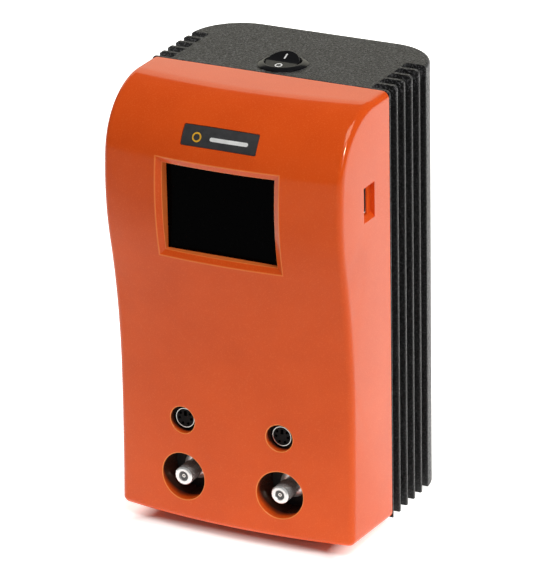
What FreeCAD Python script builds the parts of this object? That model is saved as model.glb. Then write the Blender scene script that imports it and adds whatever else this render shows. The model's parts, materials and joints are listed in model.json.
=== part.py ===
"""Soldering station power unit: a finned cast housing, a crowned moulded front cover,
a round rocker switch on top, two coaxial hand-piece outlets, two accessory sockets,
a display, a side data socket, and a mains inlet with a fuse drawer at the back.

Millimetres, +Z up, the front faces -Y, +X to the right.  Pieces are built with Y = 0 on
the joint between cover and housing and Z = 0 on the underside of the housing, and are
moved at the end so that the origin is the middle of the footprint on the bench.
"""
import FreeCAD, Part
import math
import os

Vector = FreeCAD.Vector

# ---- driving dimensions -------------------------------------------------------------
width = 130.0             # housing and cover, side to side
height = 226.0            # underside of the housing to its top plate
housing_depth = 68.0      # joint face to rear face
foot_height = 3.2         # rubber feet under the housing
foot_inset_x = 27.41      # foot to the side face
foot_front_y = 26.0       # front feet ahead of the joint

# housing
housing_wall = 3.0
rear_corner_radius = 27.5
top_edge_radius = 2.3
fin_count = 5             # cooling slots on each side
fin_rim = 1.9             # solid rim in front of the first slot
fin_pitch = 8.36
fin_gap = 6.4
fin_reach = 10.5          # depth of a slot
fin_lip = 0.6             # rounding of a fin's outer edges
fin_root = 1.0            # rounding at the bottom of a slot
seam_gap = 0.6            # shadow line between housing and cover
seam_depth = 1.6
seam_edge = 0.4           # rounding of the housing's rim beside the shadow line
boss_radius = 3.6         # bosses for the bulkhead and base screws
boss_length = 11.0
column_radius = 4.5       # cast columns for the long cover screws
column_inset_x = 18.0     # column axis to the side face
column_low = 12.0
column_drop = 18.0        # upper columns to the top plate

# front cover: side profile of the middle of the front, as distance ahead of the joint
cover_wall = 2.6
bulge_out = 58.8
bulge_drop = 50.0         # fullest part of the bulge, below the top plate
waist_out = 48.8
waist_height = 75.0
foot_out = 50.8
shoulder_radius = 36.0
bulge_radius = 150.0
crown_axis = 276.0        # axis of the crowned front, behind the joint
cover_edge_radius = 3.8
cover_taper = 0.3         # each side, over cover_draft_length
cover_rise = 3.2          # underside, over cover_draft_length
cover_draft_length = 62.0

# display
window_drop = 54.9        # middle of the opening, below the top plate
window_width = 60.8
window_height = 45.4
window_bevel = 3.2        # width of the bevel round the opening
window_bevel_depth = 2.1
hole_lip = 0.45           # rounded lips of the outlet holes
glass_face = 50.3         # distance ahead of the joint
glass_thickness = 2.0
glass_lap = 1.6
module_size = (69.0, 53.0, 3.2)
display_board_size = (82.0, 66.0)
board_thickness = 1.6

# name plate
plate_width = 40.4
plate_height = 10.4
plate_drop = 16.6         # middle of the name plate, below the top plate
plate_sunk = 0.3
plate_thickness = 0.7

# outlets
outlet_spacing = 53.7
outlet_height = 25.7
well_radius = 12.2
well_wall = 2.0
coax_thread_radius = 4.76
coax_face = 48.6
coax_bore_radius = 2.5
coax_flange_radius = 7.0
coax_flange_thickness = 2.2
coax_shank_radius = 4.6
socket_height = 56.0
socket_hole_radius = 6.9
socket_collar = 1.6
socket_face = 44.6
socket_body = 13.4
socket_ring_radius = 5.15
socket_core_radius = 4.75
contact_radius = 0.4

# side data socket
usb_middle_y = -23.7
usb_drop = 48.2           # middle of the socket, below the top plate
usb_shell = (5.7, 13.1, 14.0)
usb_shell_wall = 0.35
usb_slot_spare = 1.0      # the slot is this much longer below the socket
usb_pocket_y = (-28.2, -16.6)
usb_pocket_drop = (58.4, 40.2)
usb_pocket_depth = 2.4
usb_pocket_slope = 2.6

# inner plates and boards
sheet = 1.5
bulkhead_inset = 3.2      # bulkhead edge to the outside of the cover
bulkhead_screw_low = 56.0
bulkhead_screw_drop = 61.0
output_plate_face = 32.0  # distance ahead of the joint
output_plate_low = 8.0
output_plate_high = 70.0
output_tab = 9.0
output_flange = 3.5
control_board_low = 84.0
control_board_drop = 30.0
power_board_gap = 12.0
board_side_gap = 5.5      # power board to the housing wall
power_board_low = 60.0
power_board_drop = 40.0
standoff_radius = 2.75

# rocker switch
switch_y = 15.8
bezel_radius = 12.8
bezel_height = 1.5
switch_body_radius = 10.0
switch_depth = 21.0
rocker_radius = 9.0
rocker_pivot_drop = 1.5   # pivot under the top plate
rocker_crest = 3.0        # middle of the rocker above the pivot
rocker_facet = 7.0        # degrees each half is turned up
rocker_throw = 30.0       # degrees from off to on
rocker_pin_radius = 1.25

# rear panel
inlet_x = -12.0
inlet_z = 36.0
inlet_flange = (50.0, 37.0, 2.2)
inlet_body = (27.8, 34.4, 26.0)
inlet_cavity = (24.4, 16.6, 17.0)
inlet_cavity_up = 7.0
inlet_pin = (2.0, 4.0, 14.0)
inlet_pin_spread = 7.0
inlet_pin_step = 2.0
inlet_screw_pitch = 40.0
drawer_size = (22.6, 9.2, 22.0)
drawer_down = 10.0
drawer_grip = 0.8
fuse_radius = 2.6
fuse_length = 20.0
jack_x = 30.0
jack_z = 24.0
jack_bore_radius = 2.05
jack_flange = (5.5, 3.0)
label_size = (46.0, 30.0, 0.3)
label_z = 120.0

# fits and fasteners
slack = 0.2               # loose fit between parts that are laid in
running = 0.08            # radial clearance of turning parts
touch = 0.05              # clearance of pieces pressed or soldered in place
m3 = 1.5
m3_head = (2.9, 1.8)
long_screw = 1.65
long_screw_head = (3.4, 3.0)
long_screw_sunk = 7.0     # seat of the long screws, ahead of the rear face
small_screw = 1.2
small_screw_head = (2.2, 1.6)

# ---- sizes that follow --------------------------------------------------------------
half = width / 2
inner_half = half - fin_reach - housing_wall
column_high = height - column_drop
bulge_height = height - bulge_drop
window_middle = height - window_drop
plate_middle = height - plate_drop
usb_middle_z = height - usb_drop
usb_pocket_z = (height - usb_pocket_drop[0], height - usb_pocket_drop[1])
control_board_z = (control_board_low, height - control_board_drop)
power_board_z = (power_board_low, height - power_board_drop)
power_board_half = inner_half - board_side_gap
column_x = half - column_inset_x
outlet_x = outlet_spacing / 2
back_reach = housing_depth + jack_flange[1]
pivot_z = height - rocker_pivot_drop
side_signs = (-1, 1)


def front_reach():
    """Foremost point ahead of the joint: the bulge, or the display opening's rim beside it."""
    if abs(bulge_height - window_middle) > window_height / 2 + window_bevel:
        return bulge_out
    beside = window_width / 2 + window_bevel
    return math.sqrt((crown_axis + bulge_out) ** 2 - beside ** 2) - crown_axis


joint_y = (front_reach() - back_reach) / 2


# ---- building blocks ----------------------------------------------------------------
def box(x, y, z):
    """Box between the two values of each pair."""
    size = [abs(pair[1] - pair[0]) for pair in (x, y, z)]
    return Part.makeBox(*size, Vector(min(x), min(y), min(z)))


def rod(radius, start, end):
    """Round bar from one point to the other."""
    start = Vector(*start)
    axis = Vector(*end) - start
    return Part.makeCylinder(radius, axis.Length, start, axis)


def fused(pieces):
    """One solid out of pieces that touch or overlap."""
    whole = pieces[0].fuse(list(pieces[1:]))
    return whole.removeSplitter()


def cut_all(body, tools):
    """The body with every tool taken away."""
    for tool in tools:
        body = body.cut(tool)
    return body


def rounded_edges(body, radius, wanted):
    """Round each edge whose middle point is wanted."""
    edges = []
    for edge in body.Edges:
        middle = edge.valueAt((edge.FirstParameter + edge.LastParameter) / 2)
        if wanted(middle):
            edges.append(edge)
    return body.makeFillet(radius, edges)


def upright_edges_rounded(body, radius, axis):
    """Round the edges of a box that run along one axis, 0 for X, 1 for Y, 2 for Z."""
    edges = []
    for edge in body.Edges:
        run = edge.Vertexes[-1].Point - edge.Vertexes[0].Point
        if abs(abs(run[axis]) - run.Length) < 1e-6 and run.Length > 1e-6:
            edges.append(edge)
    return body.makeFillet(radius, edges)


def hexagon(flat_radius, start, length):
    """Hexagonal bar along +Y, flat_radius from its axis to a flat."""
    corners = []
    for step in range(7):
        angle = math.radians(60 * step + 30)
        reach = flat_radius / math.cos(math.radians(30))
        corners.append(Vector(start[0] + reach * math.cos(angle), start[1],
                              start[2] + reach * math.sin(angle)))
    return Part.Face(Part.makePolygon(corners)).extrude(Vector(0, length, 0))


def turned(points, centre, axis=Vector(0, 0, 1)):
    """Solid turned about a vertical line from (radius, height) corner points."""
    corners = [Vector(centre[0] + r, centre[1], z) for r, z in points]
    face = Part.Face(Part.makePolygon(corners + corners[:1]))
    return face.revolve(Vector(centre[0], centre[1], 0), axis, 360)


def screw(shank, head, seat, length, along):
    """Pan head screw: seat is the point under the head, along points down the shank."""
    seat = Vector(*seat)
    along = Vector(*along)
    body = Part.makeCylinder(shank, length, seat, along)
    cap = Part.makeCylinder(head[0], head[1], seat, along * -1)
    slot = Part.makeCylinder(head[0] * 0.45, head[1] * 0.5, seat - along * head[1], along)
    return fused([body, cap]).cut(slot)


def bent_tube(points, radius, share=0.45):
    """Tube along straight runs joined by arcs, each as large as its two runs allow."""
    points = [Vector(*p) for p in points]
    edges = []
    here = points[0]
    for before, corner, after in zip(points, points[1:], points[2:]):
        arriving = (corner - before).normalize()
        leaving = (after - corner).normalize()
        cut = share * min((corner - before).Length, (after - corner).Length)
        turn_start = corner - arriving * cut
        turn_end = corner + leaving * cut
        bend = (leaving - arriving).normalize()
        half_turn = arriving.getAngle(leaving) / 2
        bend_radius = cut / math.tan(half_turn)
        centre = corner + bend * (bend_radius / math.cos(half_turn))
        edges.append(Part.makeLine(here, turn_start))
        edges.append(Part.Arc(turn_start, centre - bend * bend_radius, turn_end).toShape())
        here = turn_end
    edges.append(Part.makeLine(here, points[-1]))
    path = Part.Wire(edges)
    ring = Part.Wire(Part.makeCircle(radius, points[0], points[1] - points[0]))
    return path.makePipeShell([ring], True, False)


# ---- the crowned front surface ------------------------------------------------------
def front_profile(inset):
    """Face between the joint and the side profile of the front, set in by inset."""
    drop = bulge_out - waist_out
    rise = bulge_height - waist_height
    hollow_radius = (rise ** 2 + drop ** 2) / (2 * drop) - bulge_radius
    lean = foot_out - waist_out
    lean_radius = (waist_height ** 2 + lean ** 2) / (2 * lean)
    shoulder_z = height - shoulder_radius
    shoulder_step = math.sqrt((bulge_radius - shoulder_radius) ** 2 - (shoulder_z - bulge_height) ** 2)
    bulge_centre = (bulge_radius - bulge_out, bulge_height)
    shoulder_centre = (bulge_centre[0] - shoulder_step, shoulder_z)
    hollow_centre = (-waist_out - hollow_radius, waist_height)
    lean_centre = (-waist_out - lean_radius, waist_height)

    shoulder_end = math.atan2(shoulder_z - bulge_height, -shoulder_step)
    bulge_end = math.pi + math.asin(rise / (bulge_radius + hollow_radius))
    lean_end = -math.asin(waist_height / (lean_radius + inset))
    arcs = [(shoulder_centre, shoulder_radius - inset, math.pi / 2, shoulder_end),
            (bulge_centre, bulge_radius - inset, shoulder_end, bulge_end),
            (hollow_centre, hollow_radius + inset, bulge_end - math.pi, 0.0),
            (lean_centre, lean_radius + inset, 0.0, lean_end)]

    def on_arc(centre, radius, angle):
        return Vector(0, centre[0] + radius * math.cos(angle), centre[1] + radius * math.sin(angle))

    edges = []
    for centre, radius, start, end in arcs:
        middle = (start + end) / 2
        edges.append(Part.Arc(on_arc(centre, radius, start), on_arc(centre, radius, middle),
                              on_arc(centre, radius, end)).toShape())
    top = on_arc(shoulder_centre, shoulder_radius - inset, math.pi / 2)
    bottom = on_arc(lean_centre, lean_radius + inset, lean_end)
    behind = 12.0
    corners = [bottom, Vector(0, behind, bottom.z), Vector(0, behind, top.z), top]
    for start, end in zip(corners, corners[1:]):
        edges.append(Part.makeLine(start, end))
    return Part.Face(Part.Wire(Part.__sortEdges__(edges)))


def crowned_block(inset):
    """Everything behind the crowned front surface, set in by inset."""
    sweep = math.degrees(math.asin(half / crown_axis)) + 4
    axis_point = Vector(0, crown_axis, 0)
    face = front_profile(inset)
    face.rotate(axis_point, Vector(0, 0, 1), -sweep)
    return face.revolve(axis_point, Vector(0, 0, 1), 2 * sweep)


def drafted_block(inset, behind):
    """The cover's tapered sides, top and underside, set in by inset."""
    return Part.makeWedge(cover_taper + inset - half, -cover_draft_length, cover_rise + inset,
                          inset, inset - half,
                          half - cover_taper - inset, behind, height - inset,
                          height - inset, half - inset)


def cover_body():
    """The outside of the cover, with its long edges rounded."""
    body = crowned_block(0).common(drafted_block(0, 0))

    def wanted(middle):
        on_side = abs(abs(middle.x) - half) < 1.5 and middle.y < -0.5
        on_toe = middle.z < cover_rise + 1 and middle.y < -waist_out / 2 and abs(middle.x) < half / 2
        return on_side or on_toe

    return rounded_edges(body, cover_edge_radius, wanted)


def surface_tilt():
    """Degrees the front leans back at the height of the name plate."""
    shoulder_z = height - shoulder_radius
    return math.degrees(math.asin((plate_middle - shoulder_z) / shoulder_radius))


def plate_prism(extra):
    """Bar through the front, square to it, with the outline of the name plate plus extra."""
    reach = 24.0
    bar = box((-plate_width / 2 - extra, plate_width / 2 + extra), (-reach / 2, reach / 2),
              (-plate_height / 2 - extra, plate_height / 2 + extra))
    bar = upright_edges_rounded(bar, 1.0, 1)
    shoulder_step = math.sqrt((bulge_radius - shoulder_radius) ** 2
                              - (height - shoulder_radius - bulge_height) ** 2)
    out = bulge_out - bulge_radius + shoulder_step
    out += shoulder_radius * math.cos(math.radians(surface_tilt()))
    bar.rotate(Vector(0, 0, 0), Vector(1, 0, 0), -surface_tilt())
    bar.translate(Vector(0, -out, plate_middle))
    return bar


def window_frame():
    """Block behind the display opening that carries the glass."""
    side = window_width / 2 + window_bevel + 3.2
    low = window_middle - window_height / 2 - window_bevel - 3.0
    high = window_middle + window_height / 2 + window_bevel + 3.8
    return box((-side, side), (-bulge_out - 2, -glass_face + glass_thickness), (low, high))


def window_opening(extra, start, end):
    """Bar through the front with the outline of the display opening plus extra."""
    x = window_width / 2 + extra
    z = window_height / 2 + extra
    return box((-x, x), (start, end), (window_middle - z, window_middle + z))


def bulge_block(proud):
    """Solid behind the bulge's crowned surface, reaching a little past the display opening."""
    spare = window_bevel + 5.0
    radius = bulge_radius + proud
    centre_y = bulge_radius - bulge_out

    def at(z):
        return Vector(0, centre_y - math.sqrt(radius ** 2 - (z - bulge_height) ** 2), z)

    low = window_middle - window_height / 2 - spare
    high = window_middle + window_height / 2 + spare
    behind = 20.0 - glass_face
    arc = Part.Arc(at(low), at(window_middle), at(high)).toShape()
    corners = [at(high), Vector(0, behind, high), Vector(0, behind, low), at(low)]
    lines = [Part.makeLine(start, end) for start, end in zip(corners, corners[1:])]
    axis_point = Vector(0, crown_axis, 0)
    sweep = math.degrees(math.asin((window_width / 2 + spare) / crown_axis))
    face = Part.Face(Part.Wire([arc] + lines))
    face.rotate(axis_point, Vector(0, 0, 1), -sweep)
    return face.revolve(axis_point, Vector(0, 0, 1), 2 * sweep)


def window_tools():
    """Opening with a bevel that follows the curved surface, and the seat of the glass."""
    proud = 0.2
    block = bulge_block(proud)
    pierced = block.cut(window_opening(0, -bulge_out - 2, -glass_face + 4))
    widest = window_width / 2 + 0.01
    tallest = window_height / 2 + 0.01
    rim = []
    for edge in pierced.Edges:
        middle = edge.valueAt((edge.FirstParameter + edge.LastParameter) / 2)
        beside, above = abs(middle.x), abs(middle.z - window_middle)
        within = beside < widest and above < tallest
        if within and min(beside, above) < window_height / 4 and middle.y < -glass_face - 1:
            rim.append(edge)
    steepness = (window_bevel_depth + proud) / window_bevel_depth
    bevelled = pierced.makeChamfer(window_bevel * steepness, window_bevel_depth + proud, rim)
    seat = window_opening(glass_lap + slack, -glass_face, -glass_face + 4)
    return [block.cut(bevelled), seat]


def display_posts():
    """Centres of the four posts that carry the display board, as (x, z)."""
    x = display_board_size[0] / 2 - 3.0
    z = display_board_size[1] / 2 - 3.0
    return [(sx * x, window_middle + sz * z) for sx in side_signs for sz in side_signs]


def cover_columns():
    """Centres of the four long screws, as (x, z)."""
    return [(sx * column_x, z) for sx in side_signs for z in (column_low, column_high)]


def front_cover():
    outside = cover_body()
    inside = crowned_block(cover_wall).common(drafted_block(cover_wall, 2))
    shell = outside.cut(inside)

    additions = [window_frame()]
    board_back = -glass_face + glass_thickness + slack + module_size[2]
    for x, z in display_posts():
        additions.append(rod(3.0, (x, -bulge_out, z), (x, board_back, z)))
    for x, z in cover_columns():
        additions.append(rod(column_radius, (x, -bulge_out, z), (x, -sheet, z)))
    for sign in side_signs:
        x = sign * outlet_x
        additions.append(rod(well_radius + well_wall, (x, -bulge_out, outlet_height),
                             (x, -output_plate_face - slack, outlet_height)))
        additions.append(rod(socket_hole_radius + socket_collar, (x, -bulge_out, socket_height),
                             (x, -socket_face + 0.8, socket_height)))
        pad_x = sign * (half - foot_inset_x)
        additions.append(rod(7.0, (pad_x, -foot_front_y, 0), (pad_x, -foot_front_y, cover_rise + cover_wall)))
    additions.append(box((half - 7.5, half), (usb_pocket_y[0] - 2.2, usb_pocket_y[1] + 2.2),
                         (usb_pocket_z[0] - 3.5, usb_pocket_z[1] + 3.0)))
    feet_pads = [piece for piece in additions if piece.BoundBox.ZMin < 1]
    inner_additions = [piece.common(outside) for piece in additions if piece.BoundBox.ZMin >= 1]
    body = fused([shell] + inner_additions + feet_pads)

    tools = window_tools()
    for x, z in display_posts():
        tools.append(rod(small_screw + touch, (x, board_back - 5, z), (x, board_back, z)))
    for x, z in cover_columns():
        tools.append(rod(long_screw + touch, (x, -sheet - 16, z), (x, -sheet, z)))
    for x, z, radius in outlet_holes():
        tools.append(rod(radius, (x, -bulge_out, z), (x, 0, z)))
    tools += usb_tools()
    tools.append(crowned_block(-1.0).cut(crowned_block(plate_sunk + plate_thickness + touch))
                 .common(plate_prism(0.25)))
    body = cut_all(body, tools)

    def outlet_lip(middle):
        return any(abs(math.hypot(middle.x - x, middle.z - z) - radius) < 0.01
                   for x, z, radius in outlet_holes()) and middle.y < 1 - waist_out

    return rounded_edges(body, hole_lip, outlet_lip)


def outlet_holes():
    """Centre and radius of the round holes in the front, as (x, z, radius)."""
    return [(sign * outlet_x, z, radius) for sign in side_signs
            for z, radius in ((outlet_height, well_radius), (socket_height, socket_hole_radius))]


def usb_tools():
    """Side pocket with its sloped sill, and the slot for the data socket."""
    floor_x = half - usb_pocket_depth
    sill = usb_pocket_z[0]
    outline = [Vector(floor_x, usb_pocket_y[0], sill + usb_pocket_slope),
               Vector(floor_x, usb_pocket_y[0], usb_pocket_z[1]),
               Vector(half + 1, usb_pocket_y[0], usb_pocket_z[1]),
               Vector(half + 1, usb_pocket_y[0], sill),
               Vector(half, usb_pocket_y[0], sill)]
    face = Part.Face(Part.makePolygon(outline + outline[:1]))
    pocket = face.extrude(Vector(0, usb_pocket_y[1] - usb_pocket_y[0], 0))
    deep = usb_shell[0] / 2 + slack
    tall = usb_shell[1] / 2 + slack
    slot = box((half - 12, half), (usb_middle_y - deep, usb_middle_y + deep),
               (usb_middle_z - tall - usb_slot_spare, usb_middle_z + tall))
    return [pocket, slot]


# ---- housing ------------------------------------------------------------------------
def housing_plan(inset):
    """Block with the housing's outline, set in by inset: square front, large rear corners."""
    block = box((inset - half, half - inset), (-inset, housing_depth - inset), (0, height))

    def wanted(middle):
        return abs(abs(middle.x) - half + inset) < 0.1 and abs(middle.y - housing_depth + inset) < 0.1

    return rounded_edges(block, rear_corner_radius - inset, wanted)


def fin_slot(sign, start):
    """One cooling slot: straight walls, a flat bottom with round corners and a rounded mouth."""
    inner = half - fin_reach
    end = start + fin_gap
    slot = box((inner, half + 1), (start, end), (-1, height + 1))

    def root(middle):
        return abs(middle.x - inner) < 0.01 and abs(middle.z - height / 2) < 1

    slot = rounded_edges(slot, fin_root, root)
    swing = fin_lip * (1 - math.sqrt(0.5))
    flare = []
    for wall, side in ((start, -1), (end, 1)):
        corner = [Vector(half - fin_lip, wall, -1), Vector(half - swing, wall + side * swing, -1),
                  Vector(half, wall + side * fin_lip, -1)]
        arc = Part.Arc(*corner).toShape()
        lines = [Part.makeLine(corner[2], Vector(half, wall, -1)),
                 Part.makeLine(Vector(half, wall, -1), corner[0])]
        face = Part.Face(Part.Wire([arc] + lines))
        flare.append(face.extrude(Vector(0, 0, height + 2)))
    slot = fused([slot] + flare)
    if sign < 0:
        slot = slot.mirror(Vector(0, 0, 0), Vector(1, 0, 0))
    return slot


def rimmed_block():
    """The housing's outside: rounded top edges and a shadow line round its front edge."""

    def top_edge(middle):
        return abs(middle.z - height) < 0.1 and middle.y > 0.1

    def rim_edge(middle):
        outside = abs(middle.x) > half - top_edge_radius or middle.z > height - top_edge_radius or middle.z < 0.1
        return outside and abs(middle.y - seam_gap) < 0.01 and not (
            abs(middle.x) < half - seam_depth + 0.1 and seam_depth - 0.1 < middle.z < height - seam_depth + 0.1)

    block = rounded_edges(housing_plan(0), top_edge_radius, top_edge)
    reach = half + 1
    ring = box((-reach, reach), (-1, seam_gap), (-1, height + 1))
    ring = ring.cut(box((seam_depth - half, half - seam_depth), (-2, 1), (seam_depth, height - seam_depth)))
    return rounded_edges(block.cut(ring), seam_edge, rim_edge)


def base_screw_places():
    """Where the base plate is screwed up into the housing, as (x, y)."""
    return [(sx * (column_x - 1.5), y) for sx in side_signs for y in (9.0, housing_depth - 12.0)]


def finned_housing():
    block = rimmed_block()
    cavity = box((-inner_half, inner_half), (-1, housing_depth), (0, height - housing_wall))
    body = block.cut(cavity.common(housing_plan(housing_wall)))
    columns = []
    for x, z in cover_columns():
        columns.append(rod(column_radius, (x, 0, z), (x, housing_depth, z)).common(block))
        web = box((x, math.copysign(inner_half + 0.5, x)), (0, housing_depth), (z - 2.5, z + 2.5))
        columns.append(web.common(block))
    for x, y in base_screw_places():
        columns.append(rod(boss_radius, (x, y, sheet), (x, y, column_low)))
    for x, z in bulkhead_screw_places():
        columns.append(rod(boss_radius, (x, 0, z), (x, boss_length, z)))
        columns.append(box((x, math.copysign(inner_half + 0.5, x)), (0, boss_length), (z - 2.0, z + 2.0)))
    body = fused([body] + columns)

    tools = [fin_slot(sign, fin_rim + i * fin_pitch) for sign in side_signs for i in range(fin_count)]
    for x, z in cover_columns():
        tools.append(rod(long_screw + slack, (x, -1, z), (x, housing_depth, z)))
        tools.append(rod(long_screw_head[0] + slack, (x, housing_depth - long_screw_sunk, z),
                         (x, housing_depth + 1, z)))
    for x, y in base_screw_places():
        tools.append(rod(m3 + touch, (x, y, 0), (x, y, 9.5)))
    for x, z in bulkhead_screw_places():
        tools.append(rod(m3 + touch, (x, -1, z), (x, boss_length - 2, z)))
    tools.append(rod(switch_body_radius + slack, (0, switch_y, height - housing_wall - 1),
                     (0, switch_y, height + 1)))
    x, z = inlet_x, inlet_z
    tools.append(box((x - inlet_body[0] / 2 - slack, x + inlet_body[0] / 2 + slack),
                     (housing_depth - 8, housing_depth + 1),
                     (z - inlet_body[1] / 2 - slack, z + inlet_body[1] / 2 + slack)))
    for sign in side_signs:
        tools.append(rod(m3 + touch, (x + sign * inlet_screw_pitch / 2, housing_depth - 8, z),
                         (x + sign * inlet_screw_pitch / 2, housing_depth + 1, z)))
    tools.append(rod(4.0, (jack_x, housing_depth - 8, jack_z), (jack_x, housing_depth + 1, jack_z)))
    return cut_all(body, tools)


def base_plate():
    plate = box((-inner_half + slack, inner_half - slack), (slack, housing_depth), (0, sheet))
    plate = plate.common(housing_plan(housing_wall + slack))
    return cut_all(plate, [rod(m3 + slack, (x, y, -1), (x, y, sheet + 1)) for x, y in base_screw_places()])


def foot_places():
    """Name and centre of each rubber foot."""
    x = half - foot_inset_x
    rear = housing_depth - 18.0
    return {"rubber_foot_front_left": (-x, -foot_front_y), "rubber_foot_front_right": (x, -foot_front_y),
            "rubber_foot_rear_left": (-x, rear), "rubber_foot_rear_right": (x, rear)}


def rubber_foot(x, y):
    foot = turned([(0, 0), (6.4, 0), (6.4, -foot_height + 1.2), (5.4, -foot_height), (0, -foot_height)], (x, y))
    return foot


# ---- inner plates -------------------------------------------------------------------
def bulkhead_screw_places():
    x = inner_half - 5.0
    return [(sx * x, z) for sx in side_signs for z in (bulkhead_screw_low, height - bulkhead_screw_drop)]


def control_standoff_places():
    return [(sx * 43.0, z) for sx in side_signs for z in (control_board_z[0] + 8, control_board_z[1] - 8)]


def power_standoff_places():
    x = power_board_half - 4.0
    return [(sx * x, z) for sx in side_signs for z in (power_board_z[0] + 6, power_board_z[1] - 6)]


def output_screw_places():
    return [(sx * 32.0, z) for sx in side_signs
            for z in (output_plate_low + sheet + 4.5, output_plate_high + output_tab / 2)]


def front_bulkhead():
    edge = half - bulkhead_inset
    plate = box((-edge, edge), (-sheet, 0), (bulkhead_inset, height - bulkhead_inset))
    plate = upright_edges_rounded(plate, 4.0, 1)
    opening = box((-30, 30), (-sheet - 1, 1), (88, 192))
    tools = [upright_edges_rounded(opening, 5.0, 1)]
    for x, z in cover_columns():
        tools.append(rod(long_screw + slack, (x, -sheet - 1, z), (x, 1, z)))
    for x, z in bulkhead_screw_places():
        tools.append(rod(m3 + slack, (x, -sheet - 1, z), (x, 1, z)))
    for x, z in output_screw_places():
        tools.append(rod(m3 + touch, (x, -sheet - 1, z), (x, 1, z)))
    return cut_all(plate, tools)


def output_plate():
    """Flat plate that carries the outlets."""
    x = outlet_x + well_radius + well_wall + 0.4
    face_y = -output_plate_face
    plate = box((-x, x), (face_y, face_y + sheet), (output_plate_low, output_plate_high))
    tools = []
    side = socket_body / 2 + slack
    for sign in side_signs:
        sx = sign * outlet_x
        tools.append(rod(coax_shank_radius + touch, (sx, face_y - 1, outlet_height),
                         (sx, face_y + sheet + 1, outlet_height)))
        tools.append(box((sx - side, sx + side), (face_y - 1, face_y + sheet + 1),
                         (socket_height - side, socket_height + side)))
    return cut_all(plate, tools + column_clearances(face_y - 1))


def column_clearances(front):
    """Room round the cover's lower columns, from front back to the joint."""
    return [rod(column_radius + slack, (x, front, z), (x, 0, z)) for x, z in cover_columns() if z < height / 2]


def output_legs():
    """Two bent legs welded behind the outlet plate, with tabs for the bulkhead."""
    x = outlet_x + well_radius + well_wall + 0.4
    front = sheet - output_plate_face
    low, high = output_plate_low, output_plate_high
    legs = []
    for edge, inward, tab_z in ((low, 1, (low, low + sheet + output_tab)),
                                (high, -1, (high - sheet, high + output_tab))):
        leg = [box((-x, x), (front, -sheet), sorted((edge, edge + inward * sheet))),
               box((-x, x), (front, front + sheet), sorted((edge, edge + inward * output_flange))),
               box((-x, x), (-2 * sheet, -sheet), tab_z)]
        legs.append(fused(leg))
    body = Part.makeCompound(legs)
    tools = [rod(m3 + touch, (x_place, -2 * sheet - 1, z), (x_place, 1 - sheet, z))
             for x_place, z in output_screw_places()]
    return cut_all(body, tools + column_clearances(front - 1))


def output_board():
    front = -output_plate_face + sheet + 0.3
    board = box((-38, 38), (front, front + board_thickness), (12, 66))
    holes = [rod(9.0, (sign * outlet_x, front - 1, outlet_height), (sign * outlet_x, front + 3, outlet_height))
             for sign in side_signs]
    for sign in side_signs:
        for cx, cz in contact_places():
            place = (sign * outlet_x + cx, front - 1, socket_height + cz)
            holes.append(rod(contact_radius + touch, place, (place[0], front + 3, place[2])))
    return cut_all(board, holes)


# ---- outlets ------------------------------------------------------------------------
def along_y(points, x, z):
    """Solid turned about a line along Y from (radius, y) corner points."""
    corners = [Vector(x + r, y, z) for r, y in points]
    face = Part.Face(Part.makePolygon(corners + corners[:1]))
    return face.revolve(Vector(x, 0, z), Vector(0, 1, 0), 360)


def coax_body(x):
    """Threaded barrel with its mounting flange and rear shank."""
    front = -coax_face
    seat = -output_plate_face
    tail = seat + 10.0
    r = coax_thread_radius
    points = [(coax_bore_radius, front), (r - 0.7, front), (r, front + 0.7), (r, front + 9.5),
              (r - 0.5, front + 10.0), (r - 0.5, seat - coax_flange_thickness),
              (coax_flange_radius - 0.4, seat - coax_flange_thickness),
              (coax_flange_radius, seat - coax_flange_thickness + 0.4), (coax_flange_radius, seat),
              (coax_shank_radius, seat), (coax_shank_radius, tail), (coax_bore_radius, tail)]
    return along_y(points, x, outlet_height)


def coax_insulator(x):
    front = -coax_face + 0.9
    return along_y([(0.9, front), (coax_bore_radius, front), (coax_bore_radius, -23.0), (0.9, -23.0)],
                   x, outlet_height)


def coax_contact(x):
    front = -coax_face + 0.7
    tube = along_y([(0.45, front), (0.9, front), (0.9, -19.0), (0.45, -19.0)], x, outlet_height)
    return tube


def coax_nut(x):
    start = -output_plate_face + sheet
    nut = hexagon(6.3, (x, start, outlet_height), 2.6)
    return nut.cut(rod(coax_shank_radius + touch, (x, start - 1, outlet_height), (x, start + 4, outlet_height)))


def accessory_body(x):
    """Square jack body with a round core, ring slot, contact holes and keyway."""
    side = socket_body / 2
    front = -socket_face
    back = -output_plate_face + sheet + 0.3
    z = socket_height
    block = box((x - side, x + side), (front + 0.9, back), (z - side, z + side))
    block = upright_edges_rounded(block, 2.0, 1)
    mouth = 1.0
    core = rod(socket_core_radius, (x, front, z), (x, front + 2, z))
    ring = rod(socket_ring_radius + touch, (x, front - mouth, z), (x, front + 7, z))
    ring = ring.cut(rod(socket_core_radius, (x, front - mouth - 1, z), (x, front + 8, z)))
    body = fused([block, core]).cut(ring)
    tools = [box((x - 0.8, x + 0.8), (front - 1, front + 4), (z + 0.9, z + 3.6))]
    for cx, cz in contact_places():
        tools.append(rod(0.75, (x + cx, front - 1, z + cz), (x + cx, front + 5, z + cz)))
        tools.append(rod(contact_radius + touch, (x + cx, front + 4, z + cz), (x + cx, back + 1, z + cz)))
    return cut_all(body, tools)


def contact_places():
    """The six contacts of an accessory socket, as offsets from its middle."""
    return [(-1.5, -3.0), (1.5, -3.0), (-3.3, -0.4), (3.3, -0.4), (-2.7, 2.2), (2.7, 2.2)]


def accessory_shell(x):
    front = -socket_face - 0.2
    outer = rod(socket_ring_radius, (x, front, socket_height), (x, front + 7.2, socket_height))
    return outer.cut(rod(socket_core_radius + touch, (x, front - 1, socket_height),
                         (x, front + 9, socket_height)))


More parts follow.
